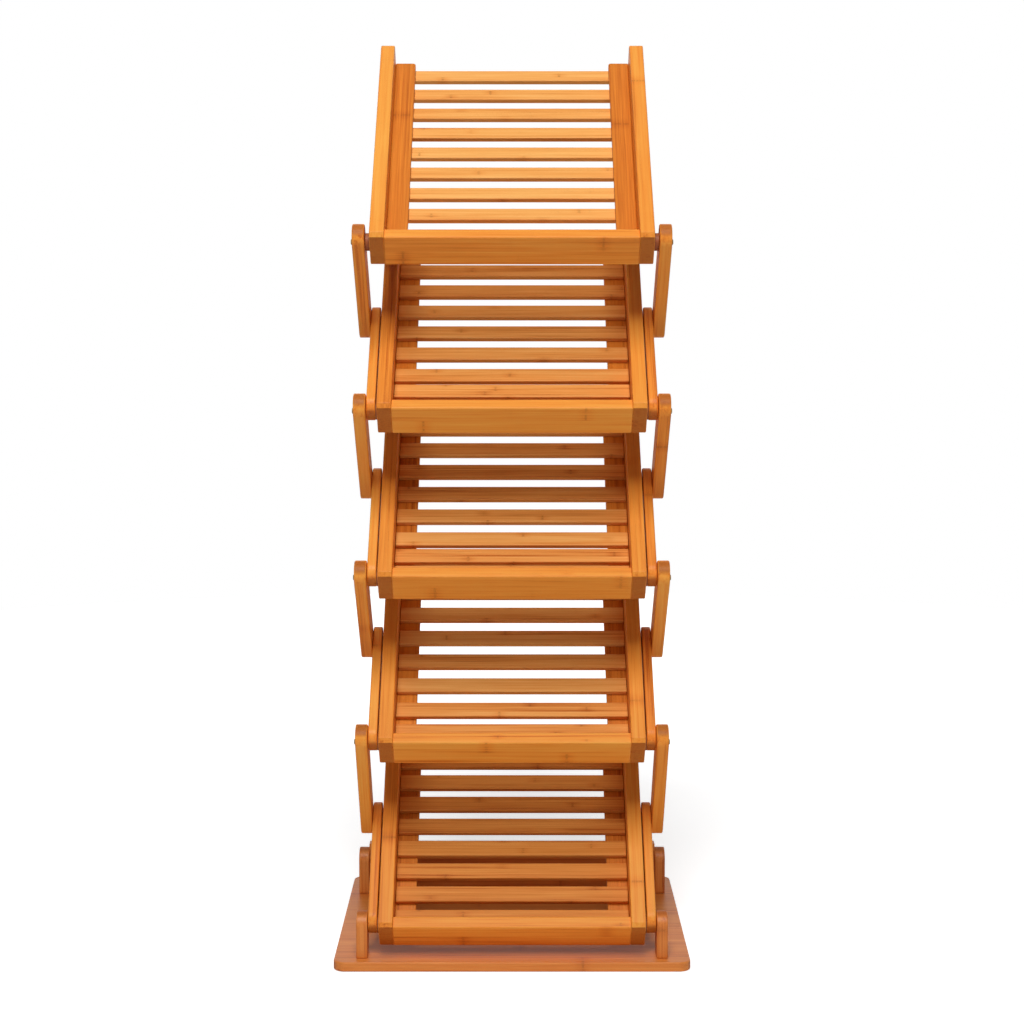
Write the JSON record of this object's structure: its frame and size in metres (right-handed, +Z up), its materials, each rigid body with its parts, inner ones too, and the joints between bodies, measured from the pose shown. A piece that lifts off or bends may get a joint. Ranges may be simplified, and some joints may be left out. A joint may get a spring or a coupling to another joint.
{
  "type": "folding brochure stand",
  "caption": "Free-standing bamboo brochure stand: slatted trays on zigzag arms that fold flat onto a base board.",
  "frame": {"origin": "middle of the base board's underside", "axes": "+X to the right across the stand, -Y out of the front, +Z up"},
  "size_m": [0.368, 0.31, 0.9642],
  "materials": {
    "bamboo": "caramel bamboo, satin lacquer",
    "base_bamboo": "caramel bamboo, satin lacquer",
    "pin_brass": "aged brass",
    "washer_nylon": "brown nylon",
    "screw_steel": "zinc plated"
  },
  "bodies": {
    "base": {"base_board": "base_bamboo", "front_bracket_left": "base_bamboo", "front_bracket_right": "base_bamboo", "rear_bracket_left": "base_bamboo", "rear_bracket_right": "base_bamboo", "rest_rail": "base_bamboo", "base_screws": "screw_steel"},
    "tray_1": {"tray1_rail_left": "bamboo", "tray1_rail_right": "bamboo", "tray1_lip": "bamboo", "tray1_stiles": "bamboo", "tray1_slats": "bamboo", "tray1_arm_left": "bamboo", "tray1_arm_right": "bamboo", "tray1_pins": "pin_brass", "tray1_washers": "washer_nylon"},
    "tray_2": {"tray2_rail_left": "bamboo", "tray2_rail_right": "bamboo", "tray2_lip": "bamboo", "tray2_stiles": "bamboo", "tray2_slats": "bamboo", "tray2_arm_left": "bamboo", "tray2_arm_right": "bamboo", "tray2_pins": "pin_brass", "tray2_washers": "washer_nylon"},
    "tray_3": {"tray3_rail_left": "bamboo", "tray3_rail_right": "bamboo", "tray3_lip": "bamboo", "tray3_stiles": "bamboo", "tray3_slats": "bamboo", "tray3_arm_left": "bamboo", "tray3_arm_right": "bamboo", "tray3_pins": "pin_brass", "tray3_washers": "washer_nylon"},
    "tray_4": {"tray4_rail_left": "bamboo", "tray4_rail_right": "bamboo", "tray4_lip": "bamboo", "tray4_stiles": "bamboo", "tray4_slats": "bamboo", "tray4_arm_left": "bamboo", "tray4_arm_right": "bamboo", "tray4_pins": "pin_brass", "tray4_washers": "washer_nylon"},
    "tray_5": {"tray5_rail_left": "bamboo", "tray5_rail_right": "bamboo", "tray5_lip": "bamboo", "tray5_stiles": "bamboo", "tray5_slats": "bamboo", "tray5_pins": "pin_brass", "tray5_washers": "washer_nylon"},
    "link_1": {"link1_left": "bamboo", "link1_right": "bamboo"},
    "link_2": {"link2_left": "bamboo", "link2_right": "bamboo"},
    "link_3": {"link3_left": "bamboo", "link3_right": "bamboo"},
    "link_4": {"link4_left": "bamboo", "link4_right": "bamboo"}
  },
  "joints": [
    {"name": "fold", "type": "hinge", "parent": "base", "child": "tray_1", "pos_m": [0, -0.129, 0.042], "axis": [-1, 0, 0], "range_deg": [0, 32.5]},
    {"name": "link_1_turn", "type": "hinge", "parent": "tray_1", "child": "link_1", "pos_m": [0, -0.03833, 0.12804], "axis": [1, 0, 0], "range_deg": [0, 78]},
    {"name": "tray_2_turn", "type": "hinge", "parent": "link_1", "child": "tray_2", "pos_m": [0, -0.11047, 0.23012], "axis": [-1, 0, 0], "range_deg": [0, 78]},
    {"name": "link_2_turn", "type": "hinge", "parent": "tray_2", "child": "link_2", "pos_m": [0, -0.0198, 0.31617], "axis": [1, 0, 0], "range_deg": [0, 66.62]},
    {"name": "tray_3_turn", "type": "hinge", "parent": "link_2", "child": "tray_3", "pos_m": [0, -0.11047, 0.40221], "axis": [-1, 0, 0], "range_deg": [0, 66.62]},
    {"name": "link_3_turn", "type": "hinge", "parent": "tray_3", "child": "link_3", "pos_m": [0, -0.0198, 0.48826], "axis": [1, 0, 0], "range_deg": [0, 66.62]},
    {"name": "tray_4_turn", "type": "hinge", "parent": "link_3", "child": "tray_4", "pos_m": [0, -0.11047, 0.5743], "axis": [-1, 0, 0], "range_deg": [0, 66.62]},
    {"name": "link_4_turn", "type": "hinge", "parent": "tray_4", "child": "link_4", "pos_m": [0, -0.0198, 0.66035], "axis": [1, 0, 0], "range_deg": [0, 66.62]},
    {"name": "tray_5_turn", "type": "hinge", "parent": "link_4", "child": "tray_5", "pos_m": [0, -0.11047, 0.74639], "axis": [-1, 0, 0], "range_deg": [0, 66.62]}
  ],
  "couplings": [
    {"joint": "link_1_turn", "follows": "fold", "ratio": 2.4},
    {"joint": "tray_2_turn", "follows": "fold", "ratio": 2.4},
    {"joint": "link_2_turn", "follows": "fold", "ratio": 2.05},
    {"joint": "tray_3_turn", "follows": "fold", "ratio": 2.05},
    {"joint": "link_3_turn", "follows": "fold", "ratio": 2.05},
    {"joint": "tray_4_turn", "follows": "fold", "ratio": 2.05},
    {"joint": "link_4_turn", "follows": "fold", "ratio": 2.05},
    {"joint": "tray_5_turn", "follows": "fold", "ratio": 2.05}
  ]
}
